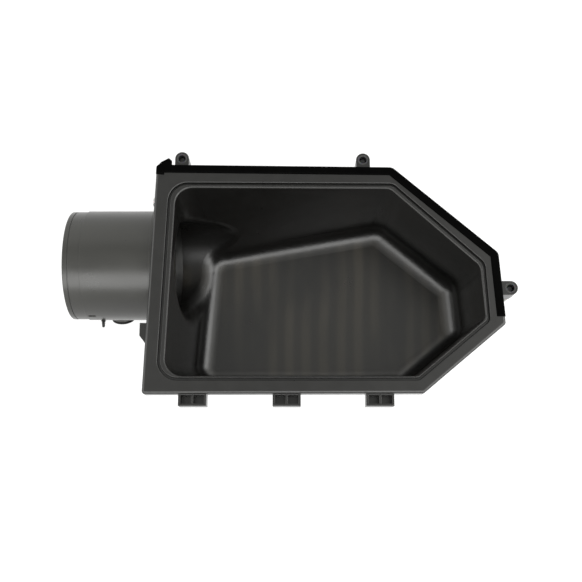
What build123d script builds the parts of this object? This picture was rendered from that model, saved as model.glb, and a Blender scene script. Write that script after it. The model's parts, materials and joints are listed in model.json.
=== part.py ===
from build123d import *
import os
from math import cos, radians, sin

os.makedirs("parts", exist_ok=True)

# An open half of an air filter housing, lying on its crown with the opening up.
# Millimetres. +Z is up, +X runs away from the duct, and the long edge with the hinge
# pockets faces -Y. The origin is under the middle of the whole part, on the surface
# that it stands on.

# ---- Driving dimensions -------------------------------------------------------------
rim_z = 100.0  # face of the flange
flange_t = 5.0
wall_t = 3.0
floor_z = 6.4  # inner face of the crown
crown_z = 3.4  # outer face of the crown, which stands on ribs
rib_t = 2.2
skirt_t = 1.8
gusset_top = rim_z - flange_t + 1.0
gusset_low = 62.0
gusset_slope = 9.0
gusset_lip = 6.0
tab_h = 13.5
rib_pitch = 14.6
cross_rib_pitch = 46.0
skirt_depth = 5.0
flange_round = 2.2
lip_flare = 0.8

# Corners run from the top left, clockwise as seen from above.
flange_corners = [
    (-102.4, 87.2), (80.8, 85.0), (159.9, 16.4),
    (163.2, -38.2), (100.2, -90.2), (-108.0, -90.8),
]
flange_radii = [2.5, 7.0, 6.0, 3.0, 2.5, 2.5]
groove_corners = [
    (-92.1, 72.8), (81.2, 71.9), (149.5, 8.6),
    (151.4, -35.9), (97.2, -80.6), (-97.4, -80.6),
]
groove_radii = [15.0, 8.0, 9.0, 6.0, 7.0, 15.0]
groove_w = 1.7
groove_depth = 3.0
groove_flare = 0.5
mouth_corners = [
    (-86.7, 68.6), (78.8, 67.6), (145.7, 6.1),
    (148.0, -34.4), (96.2, -77.4), (-91.8, -77.4),
]
mouth_radii = [13.0, 8.0, 9.0, 6.0, 7.0, 13.0]
floor_corners = [
    (-66.3, 33.0), (77.6, 62.4), (141.6, 10.4),
    (145.4, -33.6), (95.9, -74.3), (-76.0, -74.3),
]
floor_radii = [18.5, 18.5, 17.0, 16.5, 16.5, 17.0]
floor_fillet = 15.0

# Round duct, its axis along X.
duct_y = 19.2
duct_z = 48.0
duct_r = 44.4
spigot_r = 43.8  # free end, under the hose
duct_bore_r = 41.0
duct_end_x = -174.4
spigot_l = 13.4  # the hose stops at the step behind it
end_line_in = 3.6  # line round the end
end_line_w = 0.9
joint_x = -103.3  # face where the duct meets the housing's collar
collar_r = 46.0
blister_x = -84.0  # the collar rounds off into the tray from here
blister_len = 85.0
throat_r = 36.0  # the opening is narrowest here, which leaves a low sill above the crown
throat_x = -90.5  # end of the throat towards the duct
throat_taper = 7.0  # length over which it widens to the duct's bore
collar_wall = collar_r - duct_bore_r
mouth_round = 15.0  # where the tray and the duct run together
duct_flange_t = 4.0
duct_flange_r = 46.8
ear_reach = 54.0
ear_r = 7.5
ear_spots = [(ear_reach, 0), (-ear_reach, 0)]
ear_boss_r = 6.8
ear_boss_w = 10.0
ear_boss_l = 23.0
ear_hole_r = 2.9
insert_r = 3.6
insert_l = 9.0
ring_r = 43.5  # O-ring between the duct and the collar
ring_wire_r = 0.98
ring_groove_w = 2.6
ring_groove_depth = 2.0

# Captive screws in the lugs.
lug_sites = [(-83.2, 93.9), (58.6, 92.8), (169.0, -10.0)]
lug_inward = [(0, -1), (0, -1), (-1, 0)]
lug_r = 5.4
lug_top = 95.5
lug_h = 17.0
lug_web = 17.0
sleeve_r = 3.8
sleeve_bore_r = 2.85
retainer_h = 2.0
retainer_bore_r = 2.3
screw_travel = 11.5
clear = 0.3

# M5 fasteners.
thread_r = 2.5
neck_r = 2.0
fit_gap = 0.08
insert_gap = 0.05
washer_t = 1.0
head_flange_r = 4.3
head_flange_h = 1.0
hex_r = 4.0
hex_h = 3.5
socket_r = 1.9
socket_depth = 2.2

# Edge seal along the top, the upper diagonal and the right edge.
seal_w = 6.3
seal_skirt_t = 2.0
seal_top = 101.2
seal_seat = 97.6
seal_bottom = 92.5
seal_left_y = 82.0
seal_end_y = -32.7

# Hinge pockets.
hinge_xs = [-70.7, -1.0, 68.0]
hinge_w = 20.8
hinge_out_y = -99.3
hinge_in_y = -87.0
hinge_top = 97.0
hinge_h = 12.0
pocket_depth = 9.0
pocket_wall = 1.7
pocket_w = (hinge_w - 3 * pocket_wall) / 2
pocket_l = 6.3

# Sensor port and stud, low on the duct's -Y side.
port_x = -138.8
port_angle = 40.0  # degrees below the horizontal
port_boss_r = 9.4
port_face = 47.6
port_root = 33.0  # well inside the bore
port_gap = 0.6  # grommet's inner end, back from the bore
port_hole_r = 6.5
grommet_r = 9.6
grommet_lip = 2.4
grommet_round = 0.9
plug_r = 4.2
plug_head_r = 6.6
plug_head_h = 1.8
stud_x = -151.0
stud_angle = 12.0
stud_r = 1.5
stud_depth = 2.0
stud_foot_r = 2.1
stud_h = 6.0
slot_x = -156.4
slot_angle = -11.4
slot_depth = 1.2


def loop(corners, radii):
    """Face inside a closed outline with rounded corners, added to the sketch being built."""
    with BuildLine(mode=Mode.PRIVATE) as outline:
        FilletPolyline(*corners, radius=radii, close=True)
    make_face(outline.edges())


def across(x):
    """Plane at x, centred on the duct's axis and facing +X, into the housing."""
    return Plane(origin=(x, duct_y, duct_z), x_dir=(0, 1, 0), z_dir=(1, 0, 0))


def radial(x, angle, distance):
    """Plane at a distance from the duct's axis, facing outward, angle degrees below -Y."""
    out = (0, -cos(radians(angle)), -sin(radians(angle)))
    origin = (x, duct_y + out[1] * distance, duct_z + out[2] * distance)
    return Plane(origin=origin, x_dir=(1, 0, 0), z_dir=out)


def save(part, name):
    part.label = name
    export_step(part, f"parts/{name}.step")


def seal_band(width):
    """Strip of the flange's outline, width wide, along the sealed edges only."""
    with BuildSketch() as band:
        loop(flange_corners, flange_radii)
        offset(amount=-width, kind=Kind.INTERSECTION, mode=Mode.SUBTRACT)
        with BuildLine():
            Polyline(
                (-120, 120), (-120, seal_left_y), (60, 60), (120, seal_end_y), (190, seal_end_y), (190, 120),
                close=True,
            )
        make_face(mode=Mode.INTERSECT)
    return band.sketch


def gusset(plane, reach, inner):
    """Triangular rib under the flange. The plane's own x runs outward from the tray, its y up."""
    with BuildSketch(plane, mode=Mode.PRIVATE) as side:
        with BuildLine():
            Polyline(
                (inner, gusset_low), (reach - gusset_slope, gusset_low), (reach, gusset_top - gusset_lip),
                (reach, gusset_top), (inner, gusset_top), close=True,
            )
        make_face()
    extrude(side.sketch, amount=rib_t / 2, both=True)


# ---- Bands that the edge seal takes up ----------------------------------------------
narrow_band = seal_band(seal_skirt_t)
wide_band = seal_band(seal_w)

# ---- Air space inside: the tray, and the duct running out of it ---------------------
with BuildPart() as tray_space:
    with BuildSketch(Plane.XY.offset(floor_z)):
        loop(floor_corners, floor_radii)
    with BuildSketch(Plane.XY.offset(rim_z - lip_flare)):
        loop(mouth_corners, mouth_radii)
    loft(ruled=True)
    fillet(tray_space.faces().sort_by(Axis.Z)[0].edges(), radius=floor_fillet)
    # The lip's inner edge flares.
    extrude(tray_space.faces().sort_by(Axis.Z)[-1], amount=lip_flare + 0.2, taper=-45)

with BuildPart() as duct_space:
    with BuildSketch(Plane.XZ.offset(-duct_y)):
        with BuildLine():
            Polyline(
                (blister_x, duct_z + throat_r), (throat_x, duct_z + throat_r),
                (throat_x - throat_taper, duct_z + duct_bore_r),
                (joint_x - 1, duct_z + duct_bore_r), (joint_x - 1, duct_z), (blister_x + blister_len, duct_z),
            )
            EllipticalCenterArc((blister_x, duct_z), blister_len, throat_r, arc_size=90)
        make_face()
    revolve(axis=Axis((0, duct_y, duct_z), (1, 0, 0)))

with BuildPart() as air_space:
    add(tray_space.part)
    add(duct_space.part)
    fillet(air_space.edges(Select.NEW), radius=mouth_round)

# ---- Housing shell ------------------------------------------------------------------
with BuildSketch() as rib_field:
    loop(floor_corners, floor_radii)
    offset(amount=-3.0, mode=Mode.REPLACE)

with BuildPart() as flange_plate:
    with BuildSketch(Plane.XY.offset(rim_z - flange_t)):
        loop(flange_corners, flange_radii)
    extrude(amount=flange_t)
    fillet(flange_plate.edges().group_by(Axis.Z)[-1], radius=flange_round)
    with BuildSketch(Plane.XY.offset(rim_z - flange_t)):
        add(narrow_band)
    extrude(amount=flange_t, mode=Mode.SUBTRACT)

with BuildPart() as shell:
    # Tray walls.
    with BuildSketch(Plane.XY.offset(crown_z)):
        loop(floor_corners, floor_radii)
        offset(amount=wall_t, mode=Mode.REPLACE)
    with BuildSketch(Plane.XY.offset(rim_z - 1.0)):
        loop(mouth_corners, mouth_radii)
        offset(amount=wall_t, mode=Mode.REPLACE)
    loft(ruled=True)
    # Flange plate and the skirt under its edge.
    add(flange_plate.part)
    with BuildSketch(Plane.XY.offset(rim_z - flange_t - skirt_depth)):
        loop(flange_corners, flange_radii)
        add(narrow_band, mode=Mode.SUBTRACT)
        offset(amount=-skirt_t, kind=Kind.INTERSECTION, mode=Mode.SUBTRACT)
    extrude(amount=skirt_depth + 1.0)
    # Collar for the duct, rounding off into the tray.
    with BuildSketch(Plane.XZ.offset(-duct_y)):
        with BuildLine():
            Polyline(
                (blister_x, duct_z + collar_r), (joint_x, duct_z + collar_r), (joint_x, duct_z),
                (blister_x + blister_len + collar_wall, duct_z),
            )
            EllipticalCenterArc((blister_x, duct_z), blister_len + collar_wall, collar_r, arc_size=90)
        make_face()
    revolve(axis=Axis((0, duct_y, duct_z), (1, 0, 0)))
    # Bosses beside the collar for the duct's screws.
    with BuildSketch(across(joint_x)):
        Rectangle(2 * ear_reach, ear_boss_w)
        with Locations(*ear_spots):
            Circle(ear_boss_r)
    extrude(amount=ear_boss_l)
    # Lugs.
    for (x, y), (dx, dy) in zip(lug_sites, lug_inward):
        with BuildSketch(Plane.XY.offset(lug_top - lug_h)):
            with Locations((x, y)):
                Circle(lug_r)
            with Locations((x + dx * lug_web / 2, y + dy * lug_web / 2)):
                Rectangle(2 * lug_r if dy else lug_web, 2 * lug_r if dx else lug_web)
        extrude(amount=lug_h)
    # Hinge pockets.
    for x in hinge_xs:
        with BuildSketch(Plane.XY.offset(hinge_top - hinge_h)):
            with Locations((x, (hinge_out_y + hinge_in_y) / 2)):
                Rectangle(hinge_w, hinge_in_y - hinge_out_y)
        extrude(amount=hinge_h)
    # Guide tab on the duct side.
    with BuildSketch(Plane.XY.offset(rim_z - flange_t + 0.5 - tab_h)):
        with BuildLine():
            Polyline((-100, -37), (-111.6, -37), (-111.6, -46.6), (-107.0, -52.6), (-100, -52.6), close=True)
        make_face()
    extrude(amount=tab_h)
    # Ribs under the flange, on each side of the tray.
    for x in (-96, -54, -36, -18, 16, 34, 52, 88):
        gusset(Plane(origin=(x, 0, 0), x_dir=(0, -1, 0), z_dir=(-1, 0, 0)), 88.5, 70.0)
    for x in (-60, -36, -12, 12, 36, 76):
        gusset(Plane(origin=(x, 0, 0), x_dir=(0, 1, 0), z_dir=(1, 0, 0)), 83.0, 55.0)
    for y in (-30, 8):
        gusset(Plane(origin=(0, y, 0), x_dir=(1, 0, 0), z_dir=(0, -1, 0)), 158.0, 140.0)
    # Ribs on the crown, which the part stands on.
    with BuildSketch(Plane.XY):
        with Locations((38, -21)):
            with GridLocations(rib_pitch, 1, 13, 1):
                Rectangle(rib_t, 200)
            with GridLocations(1, cross_rib_pitch, 1, 3):
                Rectangle(260, rib_t)
        add(rib_field.sketch, mode=Mode.INTERSECT)
    extrude(amount=crown_z + 1.0)
    # Hollow tray and duct opening.
    add(air_space.part, mode=Mode.SUBTRACT)
    # Seal's rebate, and the groove that leaves a lip round the opening.
    with BuildSketch(Plane.XY.offset(seal_seat)):
        add(wide_band)
    extrude(amount=10, mode=Mode.SUBTRACT)
    with BuildSketch(Plane.XY.offset(rim_z - groove_depth)):
        loop(groove_corners, groove_radii)
        offset(amount=-groove_w, mode=Mode.SUBTRACT)
    extrude(amount=groove_depth + 1, mode=Mode.SUBTRACT)
    with BuildSketch(Plane.XY.offset(rim_z - groove_flare)):
        loop(groove_corners, groove_radii)
        offset(amount=-groove_w, mode=Mode.SUBTRACT)
    extrude(amount=groove_flare + 0.2, taper=-45, mode=Mode.SUBTRACT)
    # Room for the duct's flange where it passes the flange's skirt.
    with BuildSketch(across(joint_x)):
        Circle(duct_flange_r + 0.4)
        Rectangle(2 * ear_reach + 2 * ear_r + 1, 2 * ear_r + 1)
    extrude(amount=-12, mode=Mode.SUBTRACT)
    # Groove for the duct's O-ring.
    with BuildSketch(across(joint_x)):
        Circle(ring_r + ring_groove_w / 2)
        Circle(ring_r - ring_groove_w / 2, mode=Mode.SUBTRACT)
    extrude(amount=ring_groove_depth, mode=Mode.SUBTRACT)
    # Holes for the duct screws and their inserts.
    with Locations(across(joint_x)):
        with Locations(*ear_spots):
            Cylinder(insert_r, insert_l, align=(Align.CENTER, Align.CENTER, Align.MIN), mode=Mode.SUBTRACT)
            Cylinder(ear_hole_r, 14, align=(Align.CENTER, Align.CENTER, Align.MIN), mode=Mode.SUBTRACT)
    # Lug bores.
    with BuildSketch(Plane.XY.offset(lug_top - lug_h)):
        with Locations(*lug_sites):
            Circle(sleeve_r)
    extrude(amount=lug_h, mode=Mode.SUBTRACT)
    # Two pockets in each hinge block.
    for x in hinge_xs:
        with BuildSketch(Plane.XY.offset(hinge_top - pocket_depth)):
            with Locations((x, hinge_out_y + pocket_wall + pocket_l / 2)):
                with GridLocations(pocket_w + pocket_wall, 1, 2, 1):
                    Rectangle(pocket_w, pocket_l)
        extrude(amount=pocket_depth, mode=Mode.SUBTRACT)
save(shell.part, "housing_shell")

# ---- Edge seal, with the hooked pull at its left end --------------------------------
with BuildPart() as edge_seal:
    with BuildSketch(Plane.XY.offset(seal_seat)):
        add(wide_band)
        with BuildLine():
            Polyline(
                (-100.0, seal_left_y), (-102.0, 86.0), (-98.5, 89.6), (-92.8, 92.6), (-90.6, 90.6),
                (-90.4, 85.0), close=True,
            )
        make_face()
    extrude(amount=seal_top - seal_seat)
    with BuildSketch(Plane.XY.offset(seal_bottom)):
        add(narrow_band)
    extrude(amount=seal_seat - seal_bottom)
    fillet(edge_seal.edges().group_by(Axis.Z)[-1], radius=1.2)
    # Notches where the lugs pass under the seal.
    with BuildSketch(Plane.XY.offset(seal_bottom)):
        for (x, y), (dx, dy) in zip(lug_sites, lug_inward):
            with Locations((x + dx * lug_web / 2, y + dy * lug_web / 2)):
                Rectangle(2 * lug_r + 0.6 if dy else lug_web, 2 * lug_r + 0.6 if dx else lug_web)
    extrude(amount=lug_top - seal_bottom, mode=Mode.SUBTRACT)
save(edge_seal.part, "edge_seal")

# ---- Outlet duct --------------------------------------------------------------------
straightener_x = -113.0
straightener_l = 8.0
straightener_r = 42.2
straightener_seat_r = 42.3
clip_x = -112.0
clip_r = 0.8
clip_groove_r = 43.0

with BuildPart() as duct:
    with BuildSketch(across(duct_end_x)):
        Circle(spigot_r)
    extrude(amount=spigot_l)
    with BuildSketch(across(duct_end_x + spigot_l)):
        Circle(duct_r)
    extrude(amount=joint_x - duct_end_x - spigot_l)
    chamfer(duct.faces().sort_by(Axis.X)[0].edges(), length=0.5)
    with BuildSketch(across(joint_x)):
        Circle(duct_flange_r)
        Rectangle(2 * ear_reach, 2 * ear_r)
        with Locations(*ear_spots):
            Circle(ear_r)
    extrude(amount=-duct_flange_t)
    # Boss of the sensor port.
    with BuildSketch(radial(port_x, port_angle, port_root)):
        Circle(port_boss_r)
    extrude(amount=port_face - port_root)
    # Shallow line round the spigot's end.
    with BuildSketch(across(duct_end_x + end_line_in)):
        Circle(spigot_r + 1)
        Circle(spigot_r - 0.6, mode=Mode.SUBTRACT)
    extrude(amount=end_line_w, mode=Mode.SUBTRACT)
    # Bore, seat of the flow straightener and groove of its clip.
    with BuildSketch(across(duct_end_x)):
        Circle(duct_bore_r)
    extrude(amount=joint_x - duct_end_x, mode=Mode.SUBTRACT)
    with BuildSketch(across(straightener_x - straightener_l)):
        Circle(straightener_seat_r)
    extrude(amount=joint_x - straightener_x + straightener_l, mode=Mode.SUBTRACT)
    with BuildSketch(across(clip_x - clip_r - 0.05)):
        Circle(clip_groove_r)
    extrude(amount=2 * clip_r + 0.1, mode=Mode.SUBTRACT)
    # Screw holes in the ears.
    with Locations(across(joint_x)):
        with Locations(*ear_spots):
            Cylinder(ear_hole_r, 12, mode=Mode.SUBTRACT)
    # Hole for the grommet, hole for the stud, and the small locating slot.
    with BuildSketch(radial(port_x, port_angle, port_root)):
        Circle(port_hole_r)
    extrude(amount=20, mode=Mode.SUBTRACT)
    with BuildSketch(radial(stud_x, stud_angle, duct_r - stud_depth)):
        Circle(stud_r)
    extrude(amount=5, mode=Mode.SUBTRACT)
    with BuildSketch(radial(slot_x, slot_angle, duct_r - slot_depth)):
        SlotOverall(6.2, 2.6)
    extrude(amount=5, mode=Mode.SUBTRACT)
save(duct.part, "outlet_duct")

# ---- Seal ring between the duct and the collar ---------------------------------------
with BuildPart() as seal_ring:
    with BuildSketch(Plane.XZ.offset(-duct_y)):
        with Locations((joint_x + ring_groove_depth / 2, duct_z + ring_r)):
            Circle(ring_wire_r)
    revolve(axis=Axis((0, duct_y, duct_z), (1, 0, 0)))
save(seal_ring.part, "duct_seal_ring")

# ---- Flow straightener and its spring clip -------------------------------------------
cell = 8.4
cell_pitch = 9.3
smallest_cell = 8.0
with BuildSketch() as cells:
    with GridLocations(cell_pitch, cell_pitch, 9, 9):
        Rectangle(cell, cell)
    Circle(straightener_r - 2.0, mode=Mode.INTERSECT)

with BuildPart() as straightener:
    with BuildSketch(across(straightener_x - straightener_l)):
        Circle(straightener_r)
        add(cells.faces().filter_by(lambda face: face.area > smallest_cell), mode=Mode.SUBTRACT)
    extrude(amount=straightener_l)
save(straightener.part, "flow_straightener")

with BuildPart() as clip:
    with BuildSketch(Plane.XZ.offset(-duct_y)):
        with Locations((clip_x, duct_z + straightener_r - 0.05)):
            Circle(clip_r - 0.02)
    revolve(axis=Axis((0, duct_y, duct_z), (1, 0, 0)), revolution_arc=325)
save(clip.part, "straightener_clip")

# ---- Duct screws, washers and inserts -------------------------------------------------
duct_face_x = joint_x - duct_flange_t
duct_washer_r = 5.0
duct_washer_bore_r = 2.75
duct_screw_l = 16.0

with BuildPart() as duct_washers:
    with BuildSketch(across(duct_face_x)):
        with Locations(*ear_spots):
            Circle(duct_washer_r)
            Circle(duct_washer_bore_r, mode=Mode.SUBTRACT)
    extrude(amount=-washer_t)
save(duct_washers.part, "duct_screw_washers")

with BuildPart() as duct_screws:
    with BuildSketch(across(duct_face_x - washer_t)):
        with Locations(*ear_spots):
            Circle(thread_r)
    extrude(amount=duct_screw_l)
    with BuildSketch(across(duct_face_x - washer_t)):
        with Locations(*ear_spots):
            RegularPolygon(hex_r, 6)
    extrude(amount=-hex_h)
    with BuildSketch(across(duct_face_x - washer_t - hex_h)):
        with Locations(*ear_spots):
            RegularPolygon(socket_r, 6)
    extrude(amount=socket_depth, mode=Mode.SUBTRACT)
save(duct_screws.part, "duct_screws")

with BuildPart() as inserts:
    with BuildSketch(across(joint_x)):
        with Locations(*ear_spots):
            Circle(insert_r)
            Circle(thread_r + insert_gap, mode=Mode.SUBTRACT)
    extrude(amount=insert_l)
save(inserts.part, "duct_inserts")

# ---- Sensor port: grommet and plug ----------------------------------------------------
with BuildPart() as grommet:
    with BuildSketch(radial(port_x, port_angle, port_face)):
        Circle(grommet_r)
    extrude(amount=grommet_lip)
    fillet(grommet.edges(), radius=grommet_round)
    with BuildSketch(radial(port_x, port_angle, duct_bore_r + port_gap)):
        Circle(port_hole_r)
    extrude(amount=port_face - duct_bore_r - port_gap + grommet_round)
    with BuildSketch(radial(port_x, port_angle, duct_bore_r)):
        Circle(plug_r)
    extrude(amount=12, mode=Mode.SUBTRACT)
save(grommet.part, "port_grommet")

with BuildPart() as plug:
    with BuildSketch(radial(port_x, port_angle, duct_bore_r + 1.0)):
        Circle(plug_r)
    extrude(amount=port_face + grommet_lip - duct_bore_r - 1.0)
    with BuildSketch(radial(port_x, port_angle, port_face + grommet_lip)):
        Circle(plug_head_r)
    extrude(amount=plug_head_h)
    fillet(plug.edges().filter_by(GeomType.CIRCLE).sort_by(Axis.Z)[0], radius=0.4)
save(plug.part, "port_plug")

with BuildPart() as stud:
    with BuildSketch(radial(stud_x, stud_angle, duct_r - stud_depth)):
        Circle(stud_r)
    extrude(amount=stud_depth + 0.4)
    with BuildSketch(radial(stud_x, stud_angle, duct_r + 0.2)):
        Circle(stud_foot_r)
    extrude(amount=stud_h, taper=11)
save(stud.part, "harness_stud")

# ---- Lug sleeves and screw retainers ---------------------------------------------------
lug_base = lug_top - lug_h

with BuildPart() as sleeves:
    with BuildSketch(Plane.XY.offset(lug_base + retainer_h)):
        with Locations(*lug_sites):
            Circle(sleeve_r)
            Circle(sleeve_bore_r, mode=Mode.SUBTRACT)
    extrude(amount=lug_h - retainer_h)
save(sleeves.part, "lug_sleeves")

with BuildPart() as retainers:
    with BuildSketch(Plane.XY.offset(lug_base)):
        with Locations(*lug_sites):
            Circle(sleeve_r)
            Circle(retainer_bore_r, mode=Mode.SUBTRACT)
    extrude(amount=retainer_h)
save(retainers.part, "screw_retainers")

# ---- Captive cover screws and their washers, dropped to the bottom of their travel ------
washer_top = lug_base - clear - screw_travel
washer_bottom = washer_top - washer_t
thread_start = lug_base + retainer_h + clear
thread_l = 10.7
cover_washer_r = 4.8
screw_gap = 0.1
head_top = washer_bottom - screw_gap

for number, (x, y) in enumerate(lug_sites, start=1):
    with BuildPart() as washer:
        with BuildSketch(Plane.XY.offset(washer_bottom)):
            with Locations((x, y)):
                Circle(cover_washer_r)
                Circle(neck_r + fit_gap, mode=Mode.SUBTRACT)
        extrude(amount=washer_t)
    save(washer.part, f"cover_washer_{number}")

    with BuildPart() as screw:
        with BuildSketch(Plane.XY.offset(head_top - head_flange_h)):
            with Locations((x, y)):
                Circle(head_flange_r)
        extrude(amount=head_flange_h)
        with BuildSketch(Plane.XY.offset(head_top - head_flange_h - hex_h)):
            with Locations((x, y)):
                RegularPolygon(hex_r, 6)
                RegularPolygon(socket_r, 6, mode=Mode.SUBTRACT)
        extrude(amount=socket_depth)
        with BuildSketch(Plane.XY.offset(head_top - head_flange_h - hex_h + socket_depth)):
            with Locations((x, y)):
                RegularPolygon(hex_r, 6)
        extrude(amount=hex_h - socket_depth)
        with BuildSketch(Plane.XY.offset(head_top)):
            with Locations((x, y)):
                Circle(neck_r)
        extrude(amount=thread_start - head_top)
        with BuildSketch(Plane.XY.offset(thread_start)):
            with Locations((x, y)):
                Circle(thread_r)
        extrude(amount=thread_l)
        chamfer(screw.faces().sort_by(Axis.Z)[-1].edges(), length=0.6)
    save(screw.part, f"cover_screw_{number}")
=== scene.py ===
import json
from math import cos, pi, radians, sin

import bmesh
import bpy
from mathutils import Matrix, Vector


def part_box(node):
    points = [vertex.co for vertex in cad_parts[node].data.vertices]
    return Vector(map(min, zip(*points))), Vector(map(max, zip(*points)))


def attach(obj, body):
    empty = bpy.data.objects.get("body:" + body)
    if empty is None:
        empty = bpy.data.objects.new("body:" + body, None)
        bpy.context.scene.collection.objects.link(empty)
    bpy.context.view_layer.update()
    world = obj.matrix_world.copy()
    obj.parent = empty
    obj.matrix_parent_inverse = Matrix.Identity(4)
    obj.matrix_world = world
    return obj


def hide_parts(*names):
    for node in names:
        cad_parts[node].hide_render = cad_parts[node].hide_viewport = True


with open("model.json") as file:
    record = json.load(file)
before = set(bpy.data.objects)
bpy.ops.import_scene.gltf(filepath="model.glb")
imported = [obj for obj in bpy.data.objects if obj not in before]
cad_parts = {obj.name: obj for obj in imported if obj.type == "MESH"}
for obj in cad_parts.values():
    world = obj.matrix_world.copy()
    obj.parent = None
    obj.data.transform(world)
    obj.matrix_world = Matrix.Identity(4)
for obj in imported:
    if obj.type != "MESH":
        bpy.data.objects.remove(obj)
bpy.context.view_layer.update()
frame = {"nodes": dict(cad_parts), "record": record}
nodes = frame["nodes"]

MM = 0.001
TAU = 2 * pi


def mount_place(name):
    return Vector(next(mount["pos_m"] for mount in frame["record"]["mounts"] if mount["name"] == name))


# ---- Places taken from the frame -----------------------------------------------------------
rim_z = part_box("housing_shell")[1].z
duct_axis = mount_place("hose_spigot")
slot_of = {part["node"]: part["material_slot"] for part in frame["record"]["subparts"]}

# ---- Camera --------------------------------------------------------------------------------
SENSOR_WIDTH = 36.0  # mm
LENS = 55.2
CAMERA_TILT = 12.5  # degrees off vertical, towards the hinge side
CAMERA_DISTANCE = 0.672
CAMERA_AIM = Vector((0.0022, -0.0134, rim_z))


def add_camera():
    data = bpy.data.cameras.new("camera")
    data.lens = LENS
    data.sensor_width = SENSOR_WIDTH
    data.clip_start = 0.01
    camera = bpy.data.objects.new("camera", data)
    tilt = radians(CAMERA_TILT)
    camera.location = CAMERA_AIM + CAMERA_DISTANCE * Vector((0, -sin(tilt), cos(tilt)))
    camera.rotation_euler = (tilt, 0, 0)
    bpy.context.scene.collection.objects.link(camera)
    bpy.context.scene.camera = camera


# ---- Shader nodes --------------------------------------------------------------------------
def new_material(name):
    material = bpy.data.materials.new(name)
    material.use_nodes = True
    tree = material.node_tree
    return material, tree, tree.nodes["Principled BSDF"]


def add_node(tree, kind, settings=None, inputs=None):
    """A node with its settings made. An input's value is a number, a colour or another node's socket."""
    node = tree.nodes.new(kind)
    for key, value in (settings or {}).items():
        setattr(node, key, value)
    for key, value in (inputs or {}).items():
        if isinstance(value, bpy.types.NodeSocket):
            tree.links.new(value, node.inputs[key])
        else:
            node.inputs[key].default_value = value
    return node


def place(tree, stretch=(1, 1, 1)):
    """The point's own place in metres, stretched for grain that runs one way."""
    coordinates = add_node(tree, "ShaderNodeTexCoord")
    mapping = add_node(tree, "ShaderNodeMapping", None, {"Vector": coordinates.outputs["Object"]})
    mapping.inputs["Scale"].default_value = stretch
    return mapping.outputs["Vector"]


def noise(tree, vector, scale, detail=3.0, roughness=0.5):
    inputs = {"Vector": vector, "Scale": scale, "Detail": detail, "Roughness": roughness}
    return add_node(tree, "ShaderNodeTexNoise", None, inputs).outputs["Fac"]


def spread(tree, value, low, high, to_low, to_high):
    """Maps a value from low..high to to_low..to_high, held at both ends."""
    settings = {"interpolation_type": "SMOOTHSTEP"}
    inputs = {"Value": value, "From Min": low, "From Max": high, "To Min": to_low, "To Max": to_high}
    return add_node(tree, "ShaderNodeMapRange", settings, inputs).outputs["Result"]


def math(tree, operation, first, second):
    node = add_node(tree, "ShaderNodeMath", {"operation": operation}, {0: first, 1: second})
    return node.outputs["Value"]


def mix(tree, factor, first, second, blend="MIX"):
    """Blend of two colours, each a colour or another node's socket."""
    settings = {"data_type": "RGBA", "blend_type": blend}
    inputs = {"Factor": factor, "A": first, "B": second}
    return add_node(tree, "ShaderNodeMix", settings, inputs).outputs["Result"]


def opaque(colour, factor=1):
    return (*(channel * factor for channel in colour), 1)


def paint(tree, shader, colour):
    """Links a colour to the shader, in place of the one it had."""
    tree.links.new(colour, shader.inputs["Base Color"])


def painted(shader):
    return shader.inputs["Base Color"].links[0].from_socket


def grained(name, colour, roughness, contrast=0.12, patch=25.0, grain=900.0, depth=0.02,
            metallic=0.0, specular=0.5, rough_spread=0.06, round_edge=0.35, stretch=(1, 1, 1)):
    """A surface with broad patches of tone, fine uneven roughness, a bumpy grain and softened edges.
    Patch and grain are noise scales, and the grain's depth and the edge's radius are in millimetres."""
    material, tree, shader = new_material(name)
    where = place(tree, stretch)
    patches = spread(tree, noise(tree, where, patch, 4.0), 0.2, 0.8, 0.0, 1.0)
    tone = mix(tree, patches, opaque(colour, 1 - contrast), opaque(colour, 1 + contrast))
    fine = noise(tree, where, grain, 2.0)
    paint(tree, shader, tone)
    uneven = noise(tree, where, patch * 4, 5.0, 0.6)
    rough = spread(tree, uneven, 0.2, 0.8, roughness - rough_spread, roughness + rough_spread)
    tree.links.new(rough, shader.inputs["Roughness"])
    bevel = add_node(tree, "ShaderNodeBevel", {"samples": 6}, {"Radius": round_edge * MM})
    bump = add_node(tree, "ShaderNodeBump", None, {
        "Strength": 0.5, "Distance": depth * MM, "Height": fine, "Normal": bevel.outputs["Normal"]})
    tree.links.new(bump.outputs["Normal"], shader.inputs["Normal"])
    shader.inputs["Metallic"].default_value = metallic
    shader.inputs["Specular IOR Level"].default_value = specular
    return material, tree, shader, bump.outputs["Normal"]


# ---- Materials -----------------------------------------------------------------------------
RIB_PITCH = 14.6 * MM
RIB_MIDDLE_X = 38 * MM
CROWN_Z = 9.0 * MM
CROWN_FADE = 6 * MM  # height over which the marks end, above the crown
WAVE_PERIOD = TAU / 20  # of Blender's banded wave at scale 1
# Painted sheen: the lighter, warmer colour that the sink marks are painted with, in place of the light
# their dents catch.
SINK_SHEEN_COLOUR = (0.0200, 0.0172, 0.0128)
MARK_DEPTH = 0.12 * MM
MARK_FLOW = (26, 8, 8)  # patches per metre that break the marks up
FACING_UP = (0.8, 0.98)  # upward part of the normal where the marks fade in


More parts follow.
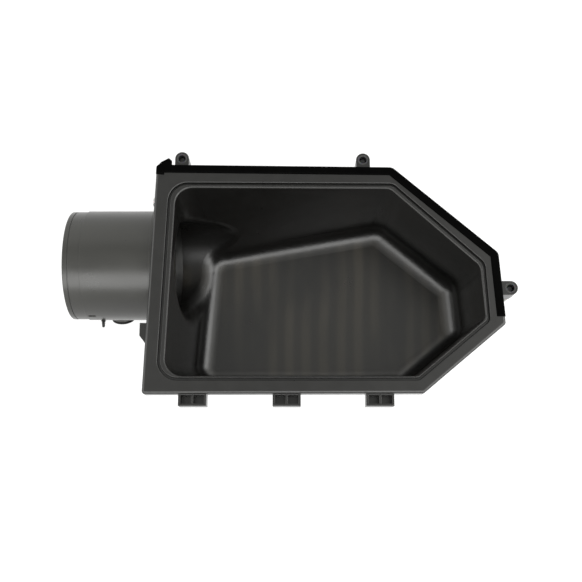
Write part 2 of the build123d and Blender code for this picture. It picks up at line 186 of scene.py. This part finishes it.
def make_shell_plastic():
    """Satin moulded polypropylene. The crown shows faint sink marks over the ribs outside it: real
    shallow dents, with a painted sheen over them, a lighter and warmer colour standing in for the light
    they catch.
    """
    material, tree, shader, grain_normal = grained(
        "shell_plastic", (0.0021, 0.0020, 0.0018), 0.30, contrast=0.2, patch=22, grain=1400, depth=0.025,
        rough_spread=0.03, round_edge=0.6)
    where = place(tree)
    sink = add_node(tree, "ShaderNodeTexWave", {"bands_direction": "X"}, {
        "Vector": where, "Scale": WAVE_PERIOD / RIB_PITCH, "Distortion": 1.6, "Detail": 2.0,
        "Detail Scale": 0.5, "Phase Offset": -TAU * RIB_MIDDLE_X / RIB_PITCH})
    flow = spread(tree, noise(tree, place(tree, MARK_FLOW), 1.0, 4.0, 0.4), 0.32, 0.66, 0.0, 1.0)
    soft_sink = spread(tree, sink.outputs["Fac"], 0.0, 1.0, 0.35, 1.0)
    height = add_node(tree, "ShaderNodeSeparateXYZ", None, {"Vector": where}).outputs["Z"]
    low_down = spread(tree, height, CROWN_Z, CROWN_Z + CROWN_FADE, 1.0, 0.0)
    normal = add_node(tree, "ShaderNodeNewGeometry").outputs["Normal"]
    upward = add_node(tree, "ShaderNodeSeparateXYZ", None, {"Vector": normal}).outputs["Z"]
    on_crown = math(tree, "MULTIPLY", low_down, spread(tree, upward, *FACING_UP, 0.0, 1.0))
    sink_dents_and_sheen = math(tree, "MULTIPLY", math(tree, "MULTIPLY", soft_sink, flow), on_crown)
    # Painted sheen: the sink marks are painted lighter in the base colour, on upward faces of the crown
    # only. Their dents, below, are a real bump.
    paint(tree, shader, mix(tree, sink_dents_and_sheen, painted(shader), opaque(SINK_SHEEN_COLOUR)))
    dent = add_node(tree, "ShaderNodeBump", None, {
        "Strength": 0.6, "Distance": MARK_DEPTH, "Height": sink_dents_and_sheen, "Normal": grain_normal})
    tree.links.new(dent.outputs["Normal"], shader.inputs["Normal"])
    return material


def make_duct_plastic():
    """Harder, lighter and glossier nylon, faintly mottled by its glass filling."""
    return grained("duct_plastic", (0.013, 0.013, 0.0112), 0.30, contrast=0.3, patch=9, grain=1800,
                   depth=0.010, rough_spread=0.04, stretch=(0.8, 1, 1))[0]


def make_plug_plastic():
    """Smooth gloss black."""
    return grained("plug_plastic", (0.002, 0.002, 0.002), 0.16, grain=2200, depth=0.006, specular=0.12,
                   rough_spread=0.03)[0]


def make_nylon(name, colour, roughness, specular=0.5):
    return grained(name, colour, roughness, round_edge=0.2, specular=specular)[0]


def make_rubber(name, colour, roughness, specular, depth):
    return grained(name, colour, roughness, contrast=0.25, patch=60, grain=1100, depth=depth,
                   specular=specular)[0]


def make_metal(name, colour, roughness, metallic=1.0, contrast=0.12):
    """Plated or bare metal with a faint crystalline spangle."""
    material, tree, shader, _ = grained(
        name, colour, roughness, contrast=contrast, patch=180, grain=2600, depth=0.006, metallic=metallic,
        round_edge=0.12)
    spangle = add_node(tree, "ShaderNodeTexVoronoi", None, {"Vector": place(tree), "Scale": 1500.0})
    paint(tree, shader, mix(tree, 0.35, painted(shader), spangle.outputs["Color"], "MULTIPLY"))
    return material


FINISHES = {
    "shell_plastic": make_shell_plastic(),
    "duct_plastic": make_duct_plastic(),
    "seal_rubber": make_rubber("seal_rubber", (0.0007, 0.0007, 0.0007), 0.45, 0.010, 0.03),
    "ring_rubber": make_rubber("ring_rubber", (0.012, 0.012, 0.012), 0.45, 0.4, 0.01),
    "grommet_rubber": make_rubber("grommet_rubber", (0.004, 0.004, 0.004), 0.42, 0.15, 0.02),
    "lattice_plastic": make_nylon("lattice_plastic", (0.045, 0.045, 0.043), 0.45),
    "plug_plastic": make_plug_plastic(),
    "stud_plastic": make_nylon("stud_plastic", (0.006, 0.006, 0.006), 0.38, specular=0.3),
    "retainer_plastic": make_nylon("retainer_plastic", (0.016, 0.016, 0.016), 0.42),
    "spring_steel": make_metal("spring_steel", (0.36, 0.35, 0.34), 0.3),
    "zinc_steel": make_metal("zinc_steel", (0.50, 0.50, 0.47), 0.34),
    "dark_steel": make_metal("dark_steel", (0.045, 0.045, 0.048), 0.5, metallic=0.7, contrast=0.3),
    "insert_brass": make_metal("insert_brass", (0.62, 0.45, 0.20), 0.32),
}


# ---- Mesh pieces ---------------------------------------------------------------------------
TURN_STEPS = 48  # round a ring: a multiple of six, so that a hexagon's corners are kept


def circle(radius):
    return lambda angle: radius


def hexagon(flat_radius):
    """Radius of a hexagon that is flat_radius from centre to flat."""
    def reach(angle):
        return flat_radius / cos((angle + pi / 6) % (pi / 3) - pi / 6)
    return reach


def smaller(first, second):
    return lambda angle: min(first(angle), second(angle))


def tapered(reach, less):
    return lambda angle: reach(angle) - less


def thread(depth, z):
    """Radius of the screw thread's section at height z, with a narrow flat at the root."""
    def reach(angle):
        turn = (z / THREAD_PITCH - angle / TAU) % 1
        return THREAD_R - depth * min(1, abs(2 * turn - 1) * THREAD_FLANK)
    return reach


def turned(*profile):
    """Rings of a turned piece, from (height, radius) pairs in millimetres."""
    return [(height * MM, circle(radius * MM)) for height, radius in profile]


def ring_mesh(mesh, rings, spot):
    """Adds a closed skin to a bmesh, through rings of (height, reach by angle), placed by a matrix."""
    loops = []
    for z, reach in rings:
        angles = [TAU * step / TURN_STEPS for step in range(TURN_STEPS)]
        points = [Vector((reach(a) * cos(a), reach(a) * sin(a), z)) for a in angles]
        loops.append([mesh.verts.new(spot @ point) for point in points])
    for low, high in zip(loops, loops[1:]):
        for step in range(TURN_STEPS):
            after = (step + 1) % TURN_STEPS
            mesh.faces.new((low[step], low[after], high[after], high[step]))
    for loop, (z, _), flipped in ((loops[0], rings[0], True), (loops[-1], rings[-1], False)):
        middle = mesh.verts.new(spot @ Vector((0, 0, z)))
        for step in range(TURN_STEPS):
            after = (step + 1) % TURN_STEPS
            corners = (loop[after], loop[step]) if flipped else (loop[step], loop[after])
            mesh.faces.new((*corners, middle))


def finish_piece(name, mesh, body, *replaced, smooth=35):
    """Turns a bmesh into an object that rides a body and stands for CAD nodes."""
    bmesh.ops.recalc_face_normals(mesh, faces=mesh.faces)
    data = bpy.data.meshes.new(name)
    mesh.to_mesh(data)
    mesh.free()
    piece = bpy.data.objects.new(name, data)
    bpy.context.scene.collection.objects.link(piece)
    data.materials.append(FINISHES[slot_of[replaced[0]]])
    data.shade_smooth()
    data.set_sharp_from_angle(angle=radians(smooth))
    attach(piece, body)
    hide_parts(*replaced)


def along(origin, direction):
    """Matrix that stands a piece at origin with its height along direction."""
    turn = Vector(direction).to_track_quat("Z", "Y").to_matrix().to_4x4()
    return Matrix.Translation(origin) @ turn


# ---- Screws --------------------------------------------------------------------------------
THREAD_R = 2.5 * MM
THREAD_PITCH = 0.8 * MM
THREAD_DEPTH = 0.43 * MM
THREAD_FLANK = 1.25  # steepness of the flanks: above 1 it leaves the flat at the root
RINGS_PER_TURN = 9
RUN_OUT = 0.8 * MM  # length over which a thread fades in or out
TIP_TAPER = 0.7
HEX_R = 3.46 * MM  # centre to flat of the head
HEX_CORNER = 4.0 * MM
HEX_H = 3.5 * MM
SOCKET_R = 1.62 * MM
SOCKET_DEPTH = 2.2 * MM
EDGE = 0.3 * MM
CHAMFER = ((0, 0.94), (0.6, 1.04), (1.6, 1.12))  # heights in edges, radii in centre-to-flats
FLANGE_R = 4.3 * MM
FLANGE_H = 1.0 * MM
NECK_R = 2.0 * MM
COVER_THREAD_L = 10.7 * MM
THREAD_STEP = 0.2 * MM  # from the thread's radius down to its start
THREAD_GAP = 0.1 * MM  # plain stretch before the thread, half as long on the cover screws


def head_rings(flanged):
    """Head from its outer face up: a hex socket, a chamfered hexagon and, if flanged, a flange."""
    hexed = hexagon(HEX_R)
    socket = hexagon(SOCKET_R)
    rings = [(SOCKET_DEPTH, hexagon(SOCKET_R * 0.5)), (SOCKET_DEPTH, socket), (EDGE, socket),
             (0, hexagon(SOCKET_R + EDGE))]
    rings += [(EDGE * height, smaller(hexed, circle(HEX_R * radius))) for height, radius in CHAMFER]
    rings.append((HEX_H - EDGE, hexed))
    if flanged:
        rings += [(HEX_H, hexagon(HEX_R + 0.1 * MM)), (HEX_H + FLANGE_H * 0.3, circle(FLANGE_R - EDGE)),
                  (HEX_H + FLANGE_H * 0.55, circle(FLANGE_R)), (HEX_H + FLANGE_H, circle(FLANGE_R))]
    else:
        rings.append((HEX_H, hexed))
    return rings


def threaded_rings(start, length):
    """Thread that runs in and out gently at its ends, with a chamfered tip."""
    steps = RINGS_PER_TURN * round(length / THREAD_PITCH)
    end = start + length
    rings = []
    for step in range(steps + 1):
        z = start + length * step / steps
        fade = min(1, (z - start) / RUN_OUT, (end - z) / RUN_OUT)
        tip = max(0, z - (end - RUN_OUT)) * TIP_TAPER
        rings.append((z, tapered(thread(THREAD_DEPTH * fade, z), tip)))
    return rings


def add_cover_screws():
    """Captive flange bolts, head down, with a plain neck that the washer and the retainer hold."""
    for number in (1, 2, 3):
        node = f"cover_screw_{number}"
        low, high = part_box(node)
        centre = (low + high) / 2
        start = high.z - low.z - COVER_THREAD_L
        rings = head_rings(flanged=True)
        top = rings[-1][0]
        rings += [(top, circle(NECK_R + EDGE)), (top + EDGE, circle(NECK_R)),
                  (start - EDGE, circle(NECK_R)), (start, circle(THREAD_R - THREAD_STEP))]
        rings += threaded_rings(start + THREAD_GAP / 2, COVER_THREAD_L - THREAD_GAP / 2)
        mesh = bmesh.new()
        ring_mesh(mesh, rings, Matrix.Translation((centre.x, centre.y, low.z)))
        finish_piece(f"flange_bolt_{number}", mesh, f"screw_{number}", node)


def add_duct_screws():
    """Two hex screws that hold the duct, their heads towards the hose."""
    low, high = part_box("duct_screws")
    mesh = bmesh.new()
    shank_l = high.x - low.x - HEX_H
    for y in (low.y + HEX_CORNER, high.y - HEX_CORNER):
        rings = head_rings(flanged=False) + [(HEX_H, circle(THREAD_R))]
        rings += threaded_rings(HEX_H + THREAD_GAP, shank_l - THREAD_GAP)
        ring_mesh(mesh, rings, along((low.x, y, (low.z + high.z) / 2), (1, 0, 0)))
    finish_piece("duct_hex_screws", mesh, "housing", "duct_screws")


# ---- Port plug and harness stud, low on the duct -------------------------------------------
PORT_ANGLE = 40  # degrees below the horizontal
PLUG_FOOT_R = 42.0 * MM  # from the duct's axis
PLUG_PROFILE = (
    (0, 3.2), (0.8, 4.2), (8.0, 4.2), (8.0, 6.2), (8.3, 6.6), (9.0, 6.6),
    (9.35, 6.2), (9.35, 5.0), (9.75, 4.6), (9.75, 2.4), (9.1, 1.9), (9.1, 0.8))
STUD_ANGLE = 12
STUD_FOOT_R = 42.4 * MM
STUD_BASE = ((0, 1.5), (2.2, 1.5), (2.2, 2.1), (2.6, 2.05), (2.8, 1.3))
BARBS = 3
BARBS_START = 3.0  # this and the rows below are in mm
BARB_H = 1.55
BARB_R = 1.75  # of the first, and each next one is smaller
BARB_SHRINK = 0.22
STUD_TIP = (0.3, 0.6)  # height past the barbs, and radius


def beside_duct(node, angle, foot_r):
    """Matrix that stands a piece on the duct's side, at a node's place along it."""
    low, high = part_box(node)
    out = Vector((0, -cos(radians(angle)), -sin(radians(angle))))
    middle = Vector(((low.x + high.x) / 2, duct_axis.y, duct_axis.z))
    return along(middle + out * foot_r, out)


def add_plug():
    """Blanking plug with a dished, stepped head."""
    mesh = bmesh.new()
    ring_mesh(mesh, turned(*PLUG_PROFILE), beside_duct("port_plug", PORT_ANGLE, PLUG_FOOT_R))
    finish_piece("blanking_plug", mesh, "housing", "port_plug")


def add_stud():
    """Fir-tree stud that a wiring clip pushes onto."""
    profile = list(STUD_BASE)
    for barb in range(BARBS):
        base = BARBS_START + barb * BARB_H
        wide = BARB_R - BARB_SHRINK * barb
        profile += [(base, 1.1), (base + 0.12, wide), (base + 0.4, wide), (base + BARB_H - 0.1, 0.95)]
    profile.append((BARBS_START + BARBS * BARB_H + STUD_TIP[0], STUD_TIP[1]))
    mesh = bmesh.new()
    ring_mesh(mesh, turned(*profile), beside_duct("harness_stud", STUD_ANGLE, STUD_FOOT_R))
    finish_piece("fir_tree_stud", mesh, "housing", "harness_stud")


# ---- Spring clip of the flow straightener --------------------------------------------------
CLIP_GAP = 17  # degrees each side of the clip's open end
CLIP_STEPS = 90
HOOK = 3.5 * MM
HOOK_BEND = 0.35  # of the hook's length
WIRE_PLAY = 0.98  # of the wire's radius, to stay inside the groove


def add_clip():
    """Round wire sprung into its groove, both ends bent in for a tool."""
    low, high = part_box("straightener_clip")
    wire = (high.x - low.x) / 2
    radius = (high.z - low.z) / 2 - wire
    middle = Vector(((low.x + high.x) / 2, duct_axis.y, duct_axis.z))
    gap = radians(CLIP_GAP)
    points = []
    for step in range(CLIP_STEPS + 1):
        angle = gap + (TAU - 2 * gap) * step / CLIP_STEPS
        points.append(middle + radius * Vector((0, cos(angle), sin(angle))))
    hooks = []
    for end in (points[0], points[-1]):
        inward = HOOK * (middle - end).normalized()
        hooks.append([end + inward * HOOK_BEND, end + inward])
    points = hooks[0][::-1] + points + hooks[1]
    curve = bpy.data.curves.new("clip_wire", "CURVE")
    curve.dimensions = "3D"
    curve.bevel_depth = wire * WIRE_PLAY
    curve.bevel_resolution = 5
    curve.use_fill_caps = True
    spline = curve.splines.new("POLY")
    spline.points.add(len(points) - 1)
    for control, point in zip(spline.points, points):
        control.co = (*point, 1)
    guide = bpy.data.objects.new("clip_guide", curve)
    data = bpy.data.meshes.new_from_object(guide)
    bpy.data.objects.remove(guide)
    mesh = bmesh.new()
    mesh.from_mesh(data)
    bpy.data.meshes.remove(data)
    finish_piece("wire_clip", mesh, "housing", "straightener_clip", smooth=50)


# ---- Light and floor -----------------------------------------------------------------------
# The world's places are parts of a unit direction: X to the right, Y to the far side, Z up.
WORLD_LEVELS = ((0.0, 0.92), (0.30, 1.0), (0.70, 1.0), (0.88, 0.86), (0.95, 0.74), (1.0, 0.70))
WORLD_STRENGTH = 1.3
WARMTH = 0.965  # blue against red and green
SIDE_SPREAD = (0.08, 0.45)
SIDE_GAIN = 1.5
RIGHT_SPREAD = (0.06, 0.34)
RIGHT_GAIN = 0.5
BAND_NEAR = (0.12, 0.28)  # a darker band past overhead begins
BAND_FAR = (0.40, 0.65)  # and ends
BAND_DIMMING = 0.28
LIGHT_AIM = (0, 0, 0.05)
SOFTBOXES = (  # name, place, size, watts
    ("front_softbox", (0.0, -0.83, 0.92), (1.7, 0.7), 14),
    ("right_softbox", (0.95, -0.1, 0.75), (1.0, 0.6), 7),
    ("left_softbox", (-0.95, 0.0, 0.75), (1.0, 0.5), 3.5),
)
FLOOR_GLOW = 0.8
FLOOR_HALF = 4.0
FLOOR_Z = -0.2 * MM
PAPER_DARK = (0.18, 0.18, 0.18)
PAPER_LIGHT = (0.22, 0.22, 0.22)


def area_light(name, where, size, power):
    data = bpy.data.lights.new(name, "AREA")
    data.shape = "RECTANGLE"
    data.size, data.size_y = size
    data.energy = power
    light = bpy.data.objects.new(name, data)
    light.location = where
    light.rotation_euler = (Vector(LIGHT_AIM) - Vector(where)).to_track_quat("-Z", "Y").to_euler()
    bpy.context.scene.collection.objects.link(light)


def add_world():
    """A pale tent that is darker overhead and brighter at its sides, the right side most of all."""
    world = bpy.data.worlds.new("studio")
    world.use_nodes = True
    tree = world.node_tree
    background = tree.nodes["Background"]
    where = add_node(tree, "ShaderNodeTexCoord").outputs["Generated"]
    split = add_node(tree, "ShaderNodeSeparateXYZ", None, {"Vector": where})
    ramp = add_node(tree, "ShaderNodeValToRGB", None, {"Fac": split.outputs["Z"]})
    stops = ramp.color_ramp.elements  # starts with one at 0 and one at 1
    for height, _ in WORLD_LEVELS[1:-1]:
        stops.new(height)
    for stop, (_, level) in zip(stops, WORLD_LEVELS):
        stop.color = (level, level, level * WARMTH, 1)
    tree.links.new(ramp.outputs["Color"], background.inputs["Color"])
    sideways = math(tree, "ABSOLUTE", split.outputs["X"], 0.0)
    both_sides = spread(tree, sideways, *SIDE_SPREAD, WORLD_STRENGTH, WORLD_STRENGTH * SIDE_GAIN)
    right_side = spread(tree, split.outputs["X"], *RIGHT_SPREAD, 0.0, WORLD_STRENGTH * RIGHT_GAIN)
    strength = math(tree, "ADD", both_sides, right_side)
    band_in = spread(tree, split.outputs["Y"], *BAND_NEAR, 0.0, BAND_DIMMING)
    band_out = spread(tree, split.outputs["Y"], *BAND_FAR, 0.0, BAND_DIMMING)
    dimming = math(tree, "SUBTRACT", math(tree, "ADD", band_out, 1.0), band_in)
    strength = math(tree, "MULTIPLY", strength, dimming)
    tree.links.new(strength, background.inputs["Strength"])
    bpy.context.scene.world = world


def add_studio():
    bpy.context.scene.view_settings.view_transform = "Standard"
    add_world()
    for softbox in SOFTBOXES:
        area_light(*softbox)

    half = FLOOR_HALF
    corners = [(-half, -half, 0), (half, -half, 0), (half, half, 0), (-half, half, 0)]
    mesh = bpy.data.meshes.new("floor")
    mesh.from_pydata(corners, [], [(0, 1, 2, 3)])
    floor = bpy.data.objects.new("floor", mesh)
    floor.location.z = FLOOR_Z
    bpy.context.scene.collection.objects.link(floor)
    material, tree, shader = new_material("floor_paper")
    paper = spread(tree, noise(tree, place(tree), 60.0, 4.0), 0.3, 0.7, 0.0, 1.0)
    paint(tree, shader, mix(tree, paper, opaque(PAPER_DARK), opaque(PAPER_LIGHT)))
    shader.inputs["Roughness"].default_value = 0.9
    shader.inputs["Specular IOR Level"].default_value = 0.2
    shader.inputs["Emission Color"].default_value = (1, 1, 1, 1)
    shader.inputs["Emission Strength"].default_value = FLOOR_GLOW
    mesh.materials.append(material)


add_camera()
add_studio()

for name, node in nodes.items():
    node.data.materials.clear()
    node.data.materials.append(FINISHES[slot_of[name]])

add_cover_screws()
add_duct_screws()
add_plug()
add_stud()
add_clip()
